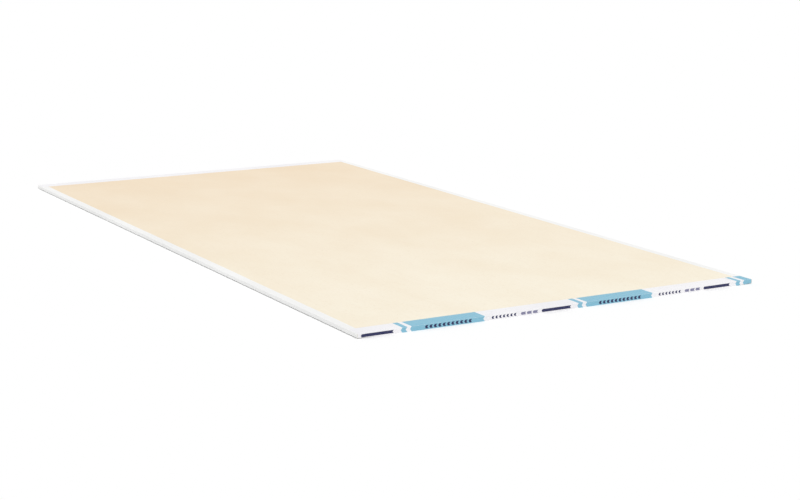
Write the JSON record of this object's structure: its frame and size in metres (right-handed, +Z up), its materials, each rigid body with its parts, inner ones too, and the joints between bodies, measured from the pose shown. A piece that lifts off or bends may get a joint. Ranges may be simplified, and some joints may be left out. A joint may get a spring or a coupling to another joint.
{
  "type": "drywall sheet",
  "caption": "Flat rectangular drywall sheet: gypsum board bound in paper, cream back up, long edges tapered on the face below, paper tape folded over both ends.",
  "frame": {"origin": "on the floor that the sheet lies on, under the middle of the sheet", "axes": "+X across the sheet, +Y along its length, +Z up, out of its back"},
  "size_m": [1.2192, 2.4386, 0.0128],
  "materials": {
    "board_paper": "matte",
    "tape_paper": "matte"
  },
  "bodies": {
    "root": {"drywall_sheet": "board_paper", "end_tape_front": "tape_paper", "end_tape_rear": "tape_paper"}
  },
  "joints": []
}
